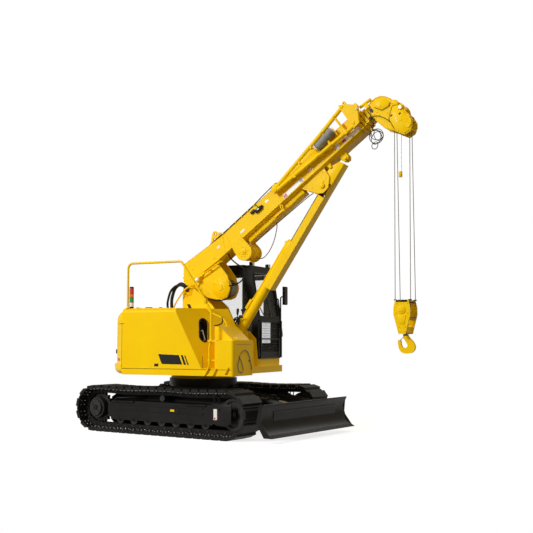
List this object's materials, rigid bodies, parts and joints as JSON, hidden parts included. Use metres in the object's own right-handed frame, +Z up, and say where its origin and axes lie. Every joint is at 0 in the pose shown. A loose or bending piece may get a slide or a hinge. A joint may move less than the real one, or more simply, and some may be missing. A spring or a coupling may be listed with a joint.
{
  "type": "telescopic crawler crane",
  "caption": "Crawler crane with slewing upper, cab, telescopic boom with luffing cylinder, winch, stowed fly jib, dozer blade and hook block on plumb falls.",
  "frame": {"origin": "on the ground under the middle of the whole crane at rest", "axes": "+X from the tail towards the blade and the boom head along the tracks, +Y to the cab side, +Z up"},
  "size_m": [5.5741, 2.8158, 5.3679],
  "materials": {
    "yellow_paint": "satin yellow paint",
    "black_paint": "satin black paint",
    "cast_steel": "dark cast steel",
    "track_steel": "dark worn steel with bolted pads",
    "chrome": "hard chrome",
    "lamp": "clear coloured lamp plastic",
    "glass": "clear glass",
    "dark_plastic": "dark plastic and cloth",
    "wire_rope": "greased wire rope"
  },
  "bodies": {
    "undercarriage": {"track_right": "track_steel", "track_left": "track_steel", "side_frame_right": "black_paint", "side_frame_left": "black_paint", "track_wheels": "cast_steel", "track_rollers": "cast_steel", "centre_frame": "black_paint"},
    "dozer_blade": {"blade": "black_paint", "blade_arms": "black_paint"},
    "blade_barrels": {"blade_ram_barrels": "black_paint"},
    "blade_rods": {"blade_ram_rods": "chrome"},
    "upper": {"deck": "yellow_paint", "counterweight": "yellow_paint", "hood": "yellow_paint", "engine_block": "cast_steel", "right_box": "yellow_paint", "guard_rail": "yellow_paint", "signal_tower": "lamp", "mast": "yellow_paint", "cab_shell": "black_paint", "cab_glass": "glass", "cab_fittings": "dark_plastic", "side_mirror": "dark_plastic"},
    "tail_lid": {"engine_lid": "yellow_paint"},
    "door": {"cab_door": "black_paint", "door_glass": "glass"},
    "boom": {"boom_base": "yellow_paint", "luff_bracket": "yellow_paint", "winch_frame": "yellow_paint", "fly_jib": "yellow_paint"},
    "drum": {"winch_drum": "yellow_paint", "drum_rope": "wire_rope"},
    "section_2": {"boom_section_2": "yellow_paint"},
    "section_3": {"boom_section_3": "yellow_paint"},
    "section_4": {"boom_section_4": "yellow_paint"},
    "section_5": {"boom_section_5": "yellow_paint", "boom_head": "yellow_paint", "head_sheaves": "cast_steel"},
    "luff_cylinder": {"luff_barrel": "yellow_paint"},
    "luff_piston": {"luff_rod": "chrome", "luff_guard": "yellow_paint"},
    "falls": {"hoist_falls": "wire_rope"},
    "lower_block": {"hook_block": "yellow_paint", "block_sheaves": "yellow_paint"},
    "load_hook": {"hook": "yellow_paint"}
  },
  "joints": [
    {"name": "blade_lift", "type": "hinge", "parent": "undercarriage", "child": "dozer_blade", "pos_m": [-0.21588, -0.07613, 0.43], "axis": [0, -1, 0], "range_deg": [-20, 18]},
    {"name": "blade_cylinder_tilt", "type": "hinge", "parent": "undercarriage", "child": "blade_barrels", "pos_m": [-0.35588, -0.07613, 0.64], "axis": [0, -1, 0], "range_deg": [-18.5, 16.5]},
    {"name": "blade_rod_slide", "type": "slide", "parent": "blade_barrels", "child": "blade_rods", "axis": [0.987, 0, -0.1607], "range_m": [-0.06, 0.066]},
    {"name": "slew", "type": "hinge", "parent": "undercarriage", "child": "upper", "pos_m": [-0.99588, -0.07613, 0.882], "axis": [0, 0, 1], "continuous": true},
    {"name": "tail_lid", "type": "hinge", "parent": "upper", "child": "tail_lid", "pos_m": [-1.82375, -0.19248, 2.051], "axis": [-0.1392, 0.9903, 0], "range_deg": [0, 60]},
    {"name": "cab_door", "type": "hinge", "parent": "upper", "child": "door", "pos_m": [-0.93541, 1.14618, 1.9], "axis": [0, 0, 1], "range_deg": [0, 165]},
    {"name": "boom_luff", "type": "hinge", "parent": "upper", "child": "boom", "pos_m": [-1.14442, -0.097, 2.35], "axis": [0.1392, -0.9903, 0], "range_deg": [-37.3, 37.7]},
    {"name": "winch_spin", "type": "hinge", "parent": "boom", "child": "drum", "pos_m": [-0.56963, -0.01622, 2.39996], "axis": [-0.1392, 0.9903, 0], "continuous": true},
    {"name": "telescope_2", "type": "slide", "parent": "boom", "child": "section_2", "axis": [0.7877, 0.1107, 0.606], "range_m": [0, 2.5]},
    {"name": "telescope_3", "type": "slide", "parent": "section_2", "child": "section_3", "axis": [0.7877, 0.1107, 0.606], "range_m": [0, 2.5]},
    {"name": "telescope_4", "type": "slide", "parent": "section_3", "child": "section_4", "axis": [0.7877, 0.1107, 0.606], "range_m": [0, 2.5]},
    {"name": "telescope_5", "type": "slide", "parent": "section_4", "child": "section_5", "axis": [0.7877, 0.1107, 0.606], "range_m": [0, 2.5]},
    {"name": "luff_cylinder_tilt", "type": "hinge", "parent": "upper", "child": "luff_cylinder", "pos_m": [-0.30269, 0.02129, 1.64], "axis": [0.1392, -0.9903, 0], "range_deg": [-36.01, 36.39]},
    {"name": "luff_rod_slide", "type": "slide", "parent": "luff_cylinder", "child": "luff_piston", "axis": [0.5482, 0.077, 0.8328], "range_m": [-0.6595, 0.6666]},
    {"name": "block_plumb", "type": "hinge", "parent": "section_5", "child": "falls", "pos_m": [2.57977, 0.4264, 4.9497], "axis": [0.1392, -0.9903, 0], "range_deg": [-37.9, 37.5]},
    {"name": "hoist", "type": "slide", "parent": "falls", "child": "lower_block", "axis": [0, 0, 1], "range_m": [0, 1.8], "deforming": ["hoist_falls"]},
    {"name": "hook_swivel", "type": "hinge", "parent": "lower_block", "child": "load_hook", "pos_m": [2.57977, 0.4264, 1.6], "axis": [0, 0, 1], "continuous": true}
  ],
  "couplings": [
    {"joint": "blade_cylinder_tilt", "follows": "blade_lift", "ratio": 0.87},
    {"joint": "blade_rod_slide", "follows": "blade_lift", "m_per_rad": -0.18},
    {"joint": "telescope_3", "follows": "telescope_2", "ratio": 1},
    {"joint": "telescope_4", "follows": "telescope_2", "ratio": 1},
    {"joint": "telescope_5", "follows": "telescope_2", "ratio": 1},
    {"joint": "luff_cylinder_tilt", "follows": "boom_luff", "ratio": 0.96},
    {"joint": "luff_rod_slide", "follows": "boom_luff", "m_per_rad": 1.01},
    {"joint": "block_plumb", "follows": "boom_luff", "ratio": -1}
  ]
}
